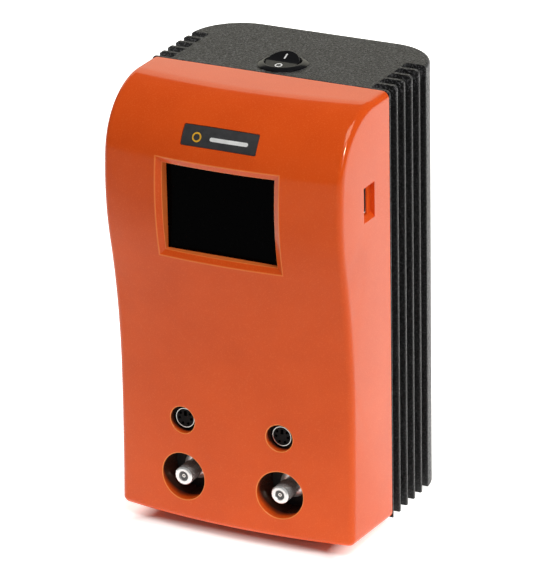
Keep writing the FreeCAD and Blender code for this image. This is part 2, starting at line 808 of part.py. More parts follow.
def accessory_contacts(x):
    front = -socket_face + 5
    back = -output_plate_face + sheet + 0.3 + board_thickness + 1.5
    pins = []
    for cx, cz in contact_places():
        place = (x + cx, front, socket_height + cz)
        pins.append(rod(contact_radius, place, (place[0], back, place[2])))
    return pins


# ---- display ------------------------------------------------------------------------
def glass():
    x = window_width / 2 + glass_lap
    z = window_height / 2 + glass_lap
    return box((-x, x), (-glass_face, -glass_face + glass_thickness), (window_middle - z, window_middle + z))


def display_module():
    w, h, t = module_size
    start = -glass_face + glass_thickness + slack / 2
    body = box((-w / 2, w / 2), (start, start + t), (window_middle - h / 2, window_middle + h / 2))
    return upright_edges_rounded(body, 1.0, 1)


def display_board_front():
    return -glass_face + glass_thickness + slack + module_size[2]


def display_board():
    w, h = display_board_size
    front = display_board_front()
    board = box((-w / 2, w / 2), (front, front + board_thickness), (window_middle - h / 2, window_middle + h / 2))
    return cut_all(board, [rod(small_screw + slack, (x, front - 1, z), (x, front + 3, z))
                           for x, z in display_posts()])


def ribbon(points, width_pair, thickness):
    """Flat cable: a strip that follows points in the YZ plane, as wide as width_pair."""
    corners = [Vector(width_pair[0], y, z) for y, z in points]
    back = [Vector(width_pair[0], y, z + thickness) for y, z in reversed(points)]
    face = Part.Face(Part.makePolygon(corners + back + corners[:1]))
    return face.extrude(Vector(width_pair[1] - width_pair[0], 0, 0))


# ---- side data socket ---------------------------------------------------------------
def control_board_front():
    return usb_middle_y + usb_shell[0] / 2


def usb_socket_shell():
    deep, tall, length = usb_shell
    end = half - usb_pocket_depth - 0.4
    outer = box((end - length, end), (usb_middle_y - deep / 2, usb_middle_y + deep / 2),
                (usb_middle_z - tall / 2, usb_middle_z + tall / 2))
    w = usb_shell_wall
    inner = box((end - length + 1.2, end + 1), (usb_middle_y - deep / 2 + w, usb_middle_y + deep / 2 - w),
                (usb_middle_z - tall / 2 + w, usb_middle_z + tall / 2 - w))
    return outer.cut(inner)


def usb_tongue():
    end = half - usb_pocket_depth - 1.2
    start = end - usb_shell[2] + 2.0
    return box((start, end), (usb_middle_y + 0.1, usb_middle_y + 1.95),
               (usb_middle_z - 5.6, usb_middle_z + 5.6))


def control_board():
    front = control_board_front()
    board = box((-47, half - 8.5), (front, front + board_thickness), control_board_z)
    return cut_all(board, [rod(m3 + slack, (x, front - 1, z), (x, front + 3, z))
                           for x, z in control_standoff_places()])


def control_chips():
    front = control_board_front()
    low, high = control_board_z
    sizes = [(8, high - 34, 14, 14, 1.6), (-20, high - 34, 9, 12, 1.4), (30, high - 40, 6, 5, 1.2),
             (-22, low + 14, 20, 10, 3.0), (18, low + 12, 12, 8, 2.2)]
    chips = []
    for x, z, w, h, t in sizes:
        chips.append(box((x - w / 2, x + w / 2), (front - t, front), (z - h / 2, z + h / 2)))
    return chips


# ---- rocker switch ------------------------------------------------------------------
def switch_body():
    r = switch_body_radius
    cavity = rocker_radius + 0.15
    floor = pivot_z - 7.4
    points = [(0, height - switch_depth), (r - 0.6, height - switch_depth), (r, height - switch_depth + 0.6),
              (r, height), (bezel_radius - 0.2, height), (bezel_radius, height + 0.3),
              (bezel_radius - 0.7, height + 0.8), (cavity + 1.0, height + bezel_height),
              (cavity + 0.4, height + bezel_height), (cavity, height + bezel_height - 0.5), (cavity, floor),
              (0, floor)]
    body = turned(points, (0, switch_y))
    pins = rod(rocker_pin_radius + running, (-r + 0.25, switch_y, pivot_z), (r - 0.25, switch_y, pivot_z))
    return body.cut(pins)


def rocker():
    """Ball-shaped rocker with two facets that meet in a shallow valley, held on two studs."""
    centre = Vector(0, switch_y, pivot_z)
    ball = Part.makeSphere(rocker_radius, centre)
    big = 3 * rocker_radius
    for turn in (rocker_facet, -rocker_facet):
        side = 1 if turn > 0 else -1
        lid = Part.makeBox(2 * big, big, big, Vector(-big, 0 if side > 0 else -big, 0))
        lid.rotate(Vector(0, 0, 0), Vector(1, 0, 0), turn)
        lid.translate(centre + Vector(0, 0, rocker_crest))
        ball = ball.cut(lid)
    under = Part.makeBox(2 * big, 2 * big, big, centre + Vector(-big, -big, -big - 4.6))
    ball = ball.cut(under)
    studs = rod(rocker_pin_radius, (-switch_body_radius + 0.4, switch_y, pivot_z),
                (switch_body_radius - 0.4, switch_y, pivot_z))
    body = fused([ball, studs])
    body.rotate(centre, Vector(1, 0, 0), rocker_throw / 2)
    return body


def switch_terminals():
    top = height - switch_depth
    blades = []
    for sx in side_signs:
        for y in (switch_y - 4.5, switch_y + 4.5):
            x = sx * 4.5
            blade = box((x - 0.4, x + 0.4), (y - 2.4, y + 2.4), (top - 8.5, top))
            blades.append(blade.cut(rod(0.9, (x - 1, y, top - 5.5), (x + 1, y, top - 5.5))))
    return blades


# ---- mains inlet and rear panel -----------------------------------------------------
def inlet_blade_places():
    """Middle of each blade, as offsets from the middle of the inlet."""
    up = inlet_cavity_up
    return [(-inlet_pin_spread, up - inlet_pin_step), (inlet_pin_spread, up - inlet_pin_step),
            (0, up + inlet_pin_step)]


def power_inlet():
    x, z = inlet_x, inlet_z
    face = housing_depth + inlet_flange[2]
    flange = box((x - inlet_flange[0] / 2, x + inlet_flange[0] / 2), (housing_depth, face),
                 (z - inlet_flange[1] / 2, z + inlet_flange[1] / 2))
    flange = upright_edges_rounded(flange, 5.0, 1)
    body = box((x - inlet_body[0] / 2, x + inlet_body[0] / 2), (housing_depth - inlet_body[2], housing_depth),
               (z - inlet_body[1] / 2, z + inlet_body[1] / 2))
    body = upright_edges_rounded(body, 1.5, 1)
    whole = fused([flange, body])
    cx, cz, depth = inlet_cavity
    middle = z + inlet_cavity_up
    cavity = box((x - cx / 2, x + cx / 2), (face - depth, face + 1), (middle - cz / 2, middle + cz / 2))
    bottom = middle - cz / 2

    def key_corner(point):
        return abs(point.z - bottom) < 0.1 and abs(abs(point.x - x) - cx / 2) < 0.1

    corners = []
    for edge in cavity.Edges:
        if key_corner(edge.valueAt((edge.FirstParameter + edge.LastParameter) / 2)):
            corners.append(edge)
    cavity = cavity.makeChamfer(4.0, corners)
    dx, dz, length = drawer_size
    slot = box((x - dx / 2 - slack, x + dx / 2 + slack), (face - length - 1.0, face + 1),
               (z - drawer_down - dz / 2 - slack, z - drawer_down + dz / 2 + slack))
    tools = [cavity, slot]
    for px, pz in inlet_blade_places():
        tools.append(box((x + px - inlet_pin[0] / 2 - touch, x + px + inlet_pin[0] / 2 + touch), (0, face - depth + 1),
                         (z + pz - inlet_pin[1] / 2 - touch, z + pz + inlet_pin[1] / 2 + touch)))
    for sign in side_signs:
        px = x + sign * inlet_screw_pitch / 2
        tools.append(rod(m3 + slack, (px, housing_depth - 1, z), (px, face + 1, z)))
    return cut_all(whole, tools)


def inlet_blades():
    floor = housing_depth + inlet_flange[2] - inlet_cavity[2]
    rear = housing_depth - inlet_body[2]
    blades = []
    for px, pz in inlet_blade_places():
        x, z = inlet_x + px, inlet_z + pz
        blade = box((x - inlet_pin[0] / 2, x + inlet_pin[0] / 2), (rear, floor + inlet_pin[2]),
                    (z - inlet_pin[1] / 2, z + inlet_pin[1] / 2))
        blade = rounded_edges(blade, 0.6, lambda m: abs(m.y - floor - inlet_pin[2]) < 0.1)
        tab = box((x - 0.4, x + 0.4), (rear - 8, rear), (z - inlet_pin[1] / 2, z + inlet_pin[1] / 2))
        blades.append(fused([blade, tab]))
    return blades


def fuse_drawer():
    x, z = inlet_x, inlet_z - drawer_down
    dx, dz, length = drawer_size
    face = housing_depth + inlet_flange[2]
    tray = box((x - dx / 2, x + dx / 2), (face - length, face), (z - dz / 2, z + dz / 2))
    grip = box((x - dx / 4, x + dx / 4), (face, face + drawer_grip), (z - dz / 2, z - dz / 2 + 1.6))
    tray = fused([tray, grip])
    tools = []
    for y in fuse_rows():
        tools.append(box((x - fuse_length / 2 - slack, x + fuse_length / 2 + slack),
                         (y - fuse_radius - slack, y + fuse_radius + slack), (z - dz / 2 + 1.2, z + dz)))
    tools.append(box((x - 4, x + 4), (face - 1.2, face + 2), (z - dz / 2 + 1.6, z - dz / 2 + 3.4)))
    return cut_all(tray, tools)


def fuse_rows():
    """Y of the axis of the working fuse and of the spare."""
    first = housing_depth + inlet_flange[2] - 4.6
    return [first - fuse_radius, first - 3 * fuse_radius - 1.6]


def fuses():
    x = inlet_x
    z = inlet_z - drawer_down - drawer_size[1] / 2 + 1.2 + fuse_radius
    pieces = []
    cap = 5.2
    end = fuse_length / 2
    for y in fuse_rows():
        glass_tube = rod(fuse_radius - 0.3, (x - end + cap, y, z), (x + end - cap, y, z))
        pieces.append(glass_tube)
        for sign in side_signs:
            pieces.append(rod(fuse_radius, (x + sign * (end - cap), y, z), (x + sign * end, y, z)))
    return pieces


def ground_jack():
    flange_radius, flange_length = jack_flange
    y0 = housing_depth
    points = [(jack_bore_radius, y0 + flange_length), (flange_radius - 0.6, y0 + flange_length),
              (flange_radius, y0 + flange_length - 0.6), (flange_radius, y0), (3.8, y0), (3.8, y0 - 14),
              (jack_bore_radius, y0 - 14)]
    return along_y(points, jack_x, jack_z)


def jack_nut():
    start = housing_depth - housing_wall - 2.8
    nut = hexagon(5.5, (jack_x, start, jack_z), 2.8)
    return nut.cut(rod(3.8 + touch, (jack_x, start - 1, jack_z), (jack_x, start + 4, jack_z)))


def rating_label():
    w, h, t = label_size
    plate = box((-w / 2, w / 2), (housing_depth, housing_depth + t), (label_z - h / 2, label_z + h / 2))
    return upright_edges_rounded(plate, 2.0, 1)


# ---- power electronics --------------------------------------------------------------
def power_board():
    board = box((-power_board_half, power_board_half), (power_board_gap, power_board_gap + board_thickness), power_board_z)
    return cut_all(board, [rod(m3 + slack, (x, power_board_gap - 1, z), (x, power_board_gap + 3, z))
                           for x, z in power_standoff_places()])


parts_face = power_board_gap + board_thickness
core_x, core_z = 6.0, 86.0
core_size = (44.0, 30.0, 36.0)


def transformer_core():
    w, d, h = core_size
    block = box((core_x - w / 2, core_x + w / 2), (parts_face, parts_face + d), (core_z - h / 2, core_z + h / 2))
    windows = []
    for sign in side_signs:
        windows.append(box((core_x + sign * 6.5, core_x + sign * 16), (parts_face + 6, parts_face + d - 6),
                           (core_z - h, core_z + h)))
    return cut_all(block, windows)


def transformer_winding():
    w, d, h = core_size
    outer = box((core_x - 15.6, core_x + 15.6), (parts_face + 6.3, parts_face + d - 6.3),
                (core_z - h / 2 - 7, core_z + h / 2 + 7))
    outer = upright_edges_rounded(outer, 6.0, 1)
    leg = box((core_x - 6.6, core_x + 6.6), (0, 90), (core_z - h / 2 - 0.1, core_z + h / 2 + 0.1))
    return outer.cut(leg)


def capacitors():
    cans = []
    x = 15.0 - power_board_half
    for z in (power_board_z[1] - 60.0, power_board_z[1] - 34.0):
        can = rod(10.0, (x, parts_face, z), (x, parts_face + 34, z))
        cans.append(rounded_edges(can, 1.0, lambda m: m.y > parts_face + 33))
    return cans


def rf_shield():
    low, high = 118.0, power_board_z[1] - 12.0
    outer = box((-16, 36), (parts_face, parts_face + 13), (low, high))
    return outer.cut(box((-15.2, 35.2), (parts_face - 1, parts_face + 12.2), (low + 0.8, high - 0.8)))


bridge_thickness = 5.0
bridge_rows = {-1: (power_board_z[0] + 4.0, power_board_z[0] + 48.0),
               1: (power_board_z[1] - 74.0, power_board_z[1] - 30.0)}
bridge_end = housing_depth - 16.0


def heat_bridges():
    bars = []
    for sign, rows in bridge_rows.items():
        bars.append(box((sign * (inner_half - bridge_thickness), sign * inner_half), (18, bridge_end), rows))
    return bars


def power_transistors():
    pieces = []
    for sign, rows in bridge_rows.items():
        wall = inner_half - bridge_thickness
        for z in (rows[0] + 11, rows[1] - 11):
            case = box((sign * (wall - 5), sign * wall), (22, bridge_end - 9), (z - 8, z + 8))
            legs = [box((sign * (wall - 3.4), sign * (wall - 2.8)), (parts_face, 22.5), (z + leg - 0.6, z + leg + 0.6))
                    for leg in (-5.4, 0, 5.4)]
            pieces.append(fused([case] + legs))
    return pieces


def mains_leads():
    """Two leads from the inlet blades up to the switch."""
    rear = housing_depth - inlet_body[2] - 6.5
    behind = housing_depth - housing_wall - 6.0
    top = height - switch_depth - 8.5
    leads = []
    for px, sx in ((-inlet_pin_spread, -4.5), (inlet_pin_spread, 4.5)):
        x = inlet_x + px
        start_z = inlet_z + inlet_cavity_up - inlet_pin_step + inlet_pin[1] / 2
        points = [(x, rear, start_z), (x, rear, start_z + 9), (x, behind - 8, start_z + 17),
                  (x + 2, behind, start_z + 28), (sx, behind, top - 60), (sx, behind - 6, top - 30),
                  (sx, switch_y + 4.5, top - 12), (sx, switch_y + 4.5, top)]
        leads.append(bent_tube(points, 1.2))
    return leads


# ---- fasteners ----------------------------------------------------------------------
def cover_screws():
    seat = housing_depth - long_screw_sunk
    return [screw(long_screw, long_screw_head, (x, seat, z), seat + sheet + 13, (0, -1, 0))
            for x, z in cover_columns()]


def bulkhead_screws():
    return [screw(m3, m3_head, (x, -sheet, z), sheet + 6.0, (0, 1, 0)) for x, z in bulkhead_screw_places()]


def output_screws():
    return [screw(m3, m3_head, (x, -2 * sheet, z), 2 * sheet - 0.1, (0, 1, 0)) for x, z in output_screw_places()]


def base_screws():
    return [screw(m3, (2.9, 1.4), (x, y, 0), 9.0, (0, 0, 1)) for x, y in base_screw_places()]


def inlet_screws():
    seat = housing_depth + inlet_flange[2]
    return [screw(m3, (2.9, 0.7), (inlet_x + sign * inlet_screw_pitch / 2, seat, inlet_z), 7.0, (0, -1, 0))
            for sign in side_signs]


def display_screws():
    seat = display_board_front() + board_thickness
    return [screw(small_screw, small_screw_head, (x, seat, z), 6.4, (0, -1, 0)) for x, z in display_posts()]


def standoff(x, z, start, end, hole_end):
    body = rod(standoff_radius, (x, start, z), (x, end, z))
    depth = 8.0 if hole_end > 0 else -8.0
    tip = end if hole_end > 0 else start
    return body.cut(rod(m3 + touch, (x, tip, z), (x, tip - depth, z)))


def control_standoffs():
    start = control_board_front() + board_thickness
    return [standoff(x, z, start, -sheet, -1) for x, z in control_standoff_places()]


def power_standoffs():
    return [standoff(x, z, 0, power_board_gap, 1) for x, z in power_standoff_places()]


def control_screws():
    seat = control_board_front()
    return [screw(m3, m3_head, (x, seat, z), 8.0, (0, 1, 0)) for x, z in control_standoff_places()]


def power_screws():
    seat = power_board_gap + board_thickness
    return [screw(m3, m3_head, (x, seat, z), 8.0, (0, -1, 0)) for x, z in power_standoff_places()]


# ---- all the pieces -----------------------------------------------------------------
def both(make):
    """The left and the right one of a pair."""
    return [make(sign * outlet_x) for sign in side_signs]


def all_pieces():
    board_front = display_board_front() + board_thickness
    link_y = control_board_front()
    display_end = window_middle - 11.1
    control_end = control_board_z[1] - 68.0
    pieces = {
        "finned_housing": finned_housing(), "front_cover": front_cover(), "base_plate": base_plate(),
        "front_bulkhead": front_bulkhead(), "output_plate": output_plate(), "output_legs": output_legs(),
        "output_board": output_board(),
        "name_plate": crowned_block(plate_sunk).cut(crowned_block(plate_sunk + plate_thickness))
                      .common(plate_prism(0)),
        "display_window": glass(), "display_module": display_module(), "display_board": display_board(),
        "display_screws": display_screws(),
        "display_ribbon": ribbon([(board_front, display_end), (board_front + 6, display_end),
                                  (link_y - 6, control_end), (link_y, control_end)],
                                 (-10, 10), 0.5),
        "control_board": control_board(), "control_chips": control_chips(),
        "control_standoffs": control_standoffs(), "control_screws": control_screws(),
        "usb_shell": usb_socket_shell(), "usb_tongue": usb_tongue(),
        "board_link_ribbon": ribbon([(link_y + board_thickness, 100), (link_y + board_thickness + 8, 100),
                                     (power_board_gap - 6, 120), (power_board_gap, 120)], (-9, 9), 0.5),
        "left_coax_body": coax_body(-outlet_x), "right_coax_body": coax_body(outlet_x),
        "coax_insulators": both(coax_insulator), "coax_contacts": both(coax_contact),
        "coax_nuts": both(coax_nut),
        "left_accessory_socket": accessory_body(-outlet_x),
        "right_accessory_socket": accessory_body(outlet_x),
        "accessory_shells": both(accessory_shell),
        "accessory_contacts": accessory_contacts(-outlet_x) + accessory_contacts(outlet_x),
        "output_screws": output_screws(), "bulkhead_screws": bulkhead_screws(),
        "cover_screws": cover_screws(), "base_screws": base_screws(),
        "switch_body": switch_body(), "rocker": rocker(), "switch_terminals": switch_terminals(),
        "power_inlet": power_inlet(), "inlet_blades": inlet_blades(), "fuse_drawer": fuse_drawer(),
        "fuses": fuses(), "inlet_screws": inlet_screws(), "ground_jack": ground_jack(),
        "ground_jack_nut": jack_nut(), "rating_label": rating_label(),
        "power_board": power_board(), "power_standoffs": power_standoffs(), "power_screws": power_screws(),
        "transformer_core": transformer_core(), "transformer_winding": transformer_winding(),
        "capacitors": capacitors(), "rf_shield": rf_shield(), "heat_bridges": heat_bridges(),
        "power_transistors": power_transistors(), "mains_leads": mains_leads(),
    }
    for name, (x, y) in foot_places().items():
        pieces[name] = rubber_foot(x, y)
    return pieces


def main():
    os.makedirs("parts", exist_ok=True)
    for name, piece in all_pieces().items():
        shape = Part.makeCompound(piece) if isinstance(piece, list) else piece
        shape.translate(Vector(0, joint_y, foot_height))
        shape.exportStep("parts/" + name + ".step")


main()
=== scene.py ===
import json
import math

import bmesh
import bpy
import numpy as np
from mathutils import Matrix, Vector


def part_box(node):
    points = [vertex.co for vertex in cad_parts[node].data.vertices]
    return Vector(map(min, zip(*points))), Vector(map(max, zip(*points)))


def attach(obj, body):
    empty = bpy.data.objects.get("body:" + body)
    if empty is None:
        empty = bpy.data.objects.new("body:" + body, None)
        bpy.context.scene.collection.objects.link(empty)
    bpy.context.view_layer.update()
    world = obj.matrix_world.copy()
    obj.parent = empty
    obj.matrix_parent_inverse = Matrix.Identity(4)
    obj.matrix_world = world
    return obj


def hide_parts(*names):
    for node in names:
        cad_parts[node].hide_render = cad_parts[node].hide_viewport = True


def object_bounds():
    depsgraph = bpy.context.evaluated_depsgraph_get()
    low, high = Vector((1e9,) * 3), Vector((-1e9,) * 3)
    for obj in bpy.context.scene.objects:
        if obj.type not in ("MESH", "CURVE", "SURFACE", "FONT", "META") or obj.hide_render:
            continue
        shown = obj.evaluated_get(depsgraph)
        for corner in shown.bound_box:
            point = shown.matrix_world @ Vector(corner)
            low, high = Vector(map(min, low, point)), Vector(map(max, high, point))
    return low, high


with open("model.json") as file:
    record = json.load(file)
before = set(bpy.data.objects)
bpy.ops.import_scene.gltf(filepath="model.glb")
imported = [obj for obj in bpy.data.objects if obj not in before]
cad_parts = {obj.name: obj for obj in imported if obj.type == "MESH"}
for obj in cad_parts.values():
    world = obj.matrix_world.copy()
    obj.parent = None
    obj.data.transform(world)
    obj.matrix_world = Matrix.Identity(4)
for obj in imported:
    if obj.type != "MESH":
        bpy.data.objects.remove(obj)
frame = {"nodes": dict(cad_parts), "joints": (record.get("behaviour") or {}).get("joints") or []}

cad_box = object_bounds()
middle = (Vector(cad_box[0]) + Vector(cad_box[1])) / 2
nodes = frame["nodes"]

MM = 0.001
front_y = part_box("front_cover")[0].y          # foremost line of the cover, at its bulge
joint_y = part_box("front_cover")[1].y          # where the cover meets the housing
under_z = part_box("finned_housing")[0].z       # underside of the housing
top_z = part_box("finned_housing")[1].z         # top plate

# Arcs of the cover's side profile and of its plan, in millimetres
SHOULDER = 36.0           # radius of the shoulder, where the front turns into the top
BULGE = 150.0             # radius of the bulge under it
BULGE_OUT = 58.8          # bulge's foremost line, in front of the joint
BULGE_DROP = 50.0         # that line's depth below the top
CROWN = 276.0             # distance behind the joint of the upright axis that the front turns about

WELL = 0.0122             # radius of the outlets' wells
SOCKET_HOLE = 0.0069      # radius of the accessory sockets' holes
WINDOW_HALF = (0.0304, 0.0227)
WINDOW_BEVEL = 0.0032
WINDOW_DROP = 0.0549      # middle of the display opening, below the top


# ---- colours and node helpers -------------------------------------------------------
def linear(red, green, blue):
    """Screen colour from 0 to 255 as the linear colour that a shader takes."""
    share = np.array([red, green, blue], float) / 255.0
    low = share / 12.92
    high = ((share + 0.055) / 1.055) ** 2.4
    return tuple(np.where(share <= 0.04045, low, high)) + (1.0,)


class Finish:
    """A material under construction: a principled shader and the nodes that feed it."""

    def __init__(self, name, colour, roughness, metallic=0.0):
        self.material = bpy.data.materials.new(name)
        self.material.use_nodes = True
        self.tree = self.material.node_tree
        self.shader = self.tree.nodes["Principled BSDF"]
        self.set("Base Color", colour)
        self.set("Roughness", roughness)
        self.set("Metallic", metallic)
        self.place = self.tree.nodes.new("ShaderNodeTexCoord").outputs["Object"]
        self.bump_height = None
        self.split = None

    def set(self, socket, value):
        """A constant on the shader's own socket."""
        self.shader.inputs[socket].default_value = value

    def link(self, output, socket):
        self.tree.links.new(output, socket)

    def noise(self, scale, detail=3.0, roughness=0.55, stretch=(1, 1, 1)):
        """Noise over the object's own coordinates: scale is in features a metre."""
        place = self.place
        if tuple(stretch) != (1, 1, 1):
            mapping = self.tree.nodes.new("ShaderNodeMapping")
            mapping.inputs["Scale"].default_value = stretch
            self.link(place, mapping.inputs["Vector"])
            place = mapping.outputs["Vector"]
        node = self.tree.nodes.new("ShaderNodeTexNoise")
        node.inputs["Scale"].default_value = scale
        node.inputs["Detail"].default_value = detail
        node.inputs["Roughness"].default_value = roughness
        self.link(place, node.inputs["Vector"])
        return node.outputs["Fac"]

    def remap(self, value, low, high, out_low, out_high):
        """Straight line from low, high to out_low, out_high, held at both ends."""
        node = self.tree.nodes.new("ShaderNodeMapRange")
        ends = {"From Min": low, "From Max": high, "To Min": out_low, "To Max": out_high}
        for socket, number in ends.items():
            node.inputs[socket].default_value = number
        self.link(value, node.inputs["Value"])
        return node.outputs["Result"]

    def mix(self, share, first, second):
        """Colour between two colours; either may be a constant or an output."""
        node = self.tree.nodes.new("ShaderNodeMix")
        node.data_type = "RGBA"
        self.link(share, node.inputs["Factor"])
        for socket, colour in ((node.inputs[6], first), (node.inputs[7], second)):
            if isinstance(colour, bpy.types.NodeSocket):
                self.link(colour, socket)
            else:
                socket.default_value = colour
        return node.outputs[2]

    def math(self, operation, first, second=None):
        """Result of one sum; either number may be a constant or an output."""
        node = self.tree.nodes.new("ShaderNodeMath")
        node.operation = operation
        for socket, number in zip(node.inputs, (first, second)):
            if isinstance(number, bpy.types.NodeSocket):
                self.link(number, socket)
            elif number is not None:
                socket.default_value = number
        return node.outputs[0]

    def axis(self, letter):
        """Object coordinate along X, Y or Z."""
        if self.split is None:
            self.split = self.tree.nodes.new("ShaderNodeSeparateXYZ")
            self.link(self.place, self.split.inputs["Vector"])
        return self.split.outputs[letter]

    def off_axis(self, x, z):
        """Distance from the nearer of two axes along Y, at plus and minus x and at height z."""
        across = self.math("SUBTRACT", self.math("ABSOLUTE", self.axis("X")), x)
        up = self.math("SUBTRACT", self.axis("Z"), z)
        total = self.math("ADD", self.math("MULTIPLY", across, across), self.math("MULTIPLY", up, up))
        return self.math("SQRT", total)

    def colour_from(self, output):
        self.link(output, self.shader.inputs["Base Color"])

    def roughness_from(self, output):
        self.link(output, self.shader.inputs["Roughness"])

    def bump(self, height, strength, distance):
        """Raises the surface by a height pattern, on top of any bump already there."""
        node = self.tree.nodes.new("ShaderNodeBump")
        node.inputs["Strength"].default_value = strength
        node.inputs["Distance"].default_value = distance
        self.link(height, node.inputs["Height"])
        if self.bump_height is not None:
            self.link(self.bump_height, node.inputs["Normal"])
        self.bump_height = node.outputs["Normal"]
        self.link(self.bump_height, self.shader.inputs["Normal"])


# ---- finishes -----------------------------------------------------------------------
def hole_highlights_and_shade(f, colour):
    """Colour with painted highlights on the round holes' rims and painted shade inside them.

    The painted shade comes in over a few millimetres of depth, sooner at the top of a hole
    than at its bottom.
    """
    fit = 0.00005
    rim_width, lean = 0.0005, 0.30
    # Colour of the painted highlight on the rims, and of the painted shade inside the holes.
    pale, shade_colour = (0.96, 0.30, 0.07, 1), (0.062, 0.018, 0.010, 1)
    # Each hole: its node, its radius, and the depths where the painted shade begins and is full.
    holes = (("left_coax_body", WELL, front_y + 0.0078, front_y + 0.0117),
             ("left_accessory_socket", SOCKET_HOLE, front_y + 0.0086, front_y + 0.0112))
    for node, radius, shade_begins, full in holes:
        low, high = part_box(node)
        hole_z = (low.z + high.z) / 2
        offset = f.off_axis(abs(low.x + high.x) / 2, hole_z)
        within = f.math("LESS_THAN", offset, radius + fit)
        # Painted highlight: a thin ring just outside each hole.
        rim_highlight = f.math("MULTIPLY", f.math("GREATER_THAN", offset, radius + fit),
                     f.math("LESS_THAN", offset, radius + fit + rim_width))
        above = f.math("SUBTRACT", f.axis("Z"), hole_z)
        # The lean makes the painted shade start sooner at the top of a hole than at its bottom.
        sunk = f.math("ADD", f.axis("Y"), f.math("MULTIPLY", above, lean))
        colour = f.mix(f.math("MULTIPLY", rim_highlight, 0.75), colour, pale)
        # Painted shade inside each hole, deepening with depth.
        colour = f.mix(f.math("MULTIPLY", within, f.remap(sunk, shade_begins, full, 0, 1)), colour, shade_colour)
    return colour


def window_edge_highlights(f, colour):
    """Colour with painted highlights along the outer and inner edges of the window's bevel."""
    # Colour of the painted highlight.
    pale = (0.96, 0.27, 0.06, 1)
    up = f.math("ABSOLUTE", f.math("SUBTRACT", f.axis("Z"), top_z - WINDOW_DROP))
    across = f.math("ABSOLUTE", f.axis("X"))
    front = f.math("LESS_THAN", f.axis("Y"), front_y + 0.0142)
    for spare, half_width in ((WINDOW_BEVEL, 0.0004), (0.0, 0.0003)):
        beyond = f.math("MAXIMUM", f.math("SUBTRACT", across, WINDOW_HALF[0] + spare),
                        f.math("SUBTRACT", up, WINDOW_HALF[1] + spare))
        # Thin painted highlight line along each edge of the bevel, on the front only.
        edge = f.math("LESS_THAN", f.math("ABSOLUTE", beyond), half_width)
        colour = f.mix(f.math("MULTIPLY", f.math("MULTIPLY", edge, front), 0.6), colour, pale)
    return colour


def orange_lacquer():
    """Glossy orange lacquer with a fine pearl fleck over a slightly clouded base.

    The round holes of the front are darkened a little way in by painted shade, and painted
    highlights run along their rims and the window's edges.
    """
    f = Finish("orange_lacquer", (0.80, 0.088, 0.009, 1), 0.09)
    f.set("IOR", 1.42)
    f.set("Specular Tint", (1.0, 0.9, 0.7, 1))
    cloud = f.remap(f.noise(26, 3), 0.3, 0.7, 0, 1)
    base = f.mix(cloud, (0.76, 0.080, 0.007, 1), (0.84, 0.096, 0.009, 1))
    fleck = f.remap(f.noise(1500, 2, 0.7), 0.52, 0.78, 0, 0.55)
    colour = f.mix(fleck, base, (0.93, 0.18, 0.035, 1))
    # Painted highlights on the hole rims and window edges, and painted shade inside the holes.
    f.colour_from(window_edge_highlights(f, hole_highlights_and_shade(f, colour)))
    f.roughness_from(f.remap(f.noise(120, 2), 0.3, 0.7, 0.07, 0.11))
    f.bump(f.noise(380, 2), 0.03, 0.0003)
    return f.material


def black_powder_coat():
    """Black powder coat, pebbled, with paler crests; a painted sheen makes them paler on top."""
    black, crest_grain_and_sheen = (0.003, 0.003, 0.003, 1), (0.160, 0.158, 0.166, 1)
    f = Finish("black_powder_coat", black, 0.42)
    crests = f.remap(f.noise(950, 2, 0.8), 0.5, 0.68, 0, 1)
    # Painted sheen: crests on the sides and fins keep about a fifth of the paleness they have on top.
    top_sheen = f.remap(f.axis("Z"), top_z - 0.009, top_z - 0.005, 0.22, 1)
    f.colour_from(f.mix(f.math("MULTIPLY", crests, top_sheen), black, crest_grain_and_sheen))
    f.set("Specular IOR Level", 0.38)
    f.roughness_from(f.remap(f.noise(800, 2), 0.3, 0.7, 0.26, 0.46))
    f.bump(f.noise(750, 3, 0.7), 0.8, 0.001)
    return f.material


def plain(name, colour, roughness, metallic=0.0, scale=600, depth=0.15, specular=0.5):
    """Moulded or metal surface with a faint mottling and a fine grain."""
    f = Finish(name, colour, roughness, metallic)
    f.set("Specular IOR Level", specular)
    tone = np.array(colour[:3])
    f.colour_from(f.mix(f.remap(f.noise(scale / 6, 3), 0.3, 0.7, 0, 1),
                        tuple(tone * 0.86) + (1,), tuple(np.minimum(tone * 1.12, 1)) + (1,)))
    f.roughness_from(f.remap(f.noise(scale / 3, 2), 0.3, 0.7, roughness * 0.85, roughness * 1.15))
    f.bump(f.noise(scale, 3), depth, 0.0003)
    return f.material


def display_glass():
    """Smoked display pane, almost without reflection, with a trace of dust."""
    glass, dust = (0.0004, 0.0004, 0.0005, 1), (0.004, 0.004, 0.004, 1)
    f = Finish("display_glass", glass, 0.12)
    f.set("Specular IOR Level", 0.02)
    f.colour_from(f.mix(f.remap(f.noise(900, 2), 0.66, 0.8, 0, 1), glass, dust))
    f.roughness_from(f.remap(f.noise(60, 3), 0.3, 0.7, 0.1, 0.16))
    return f.material


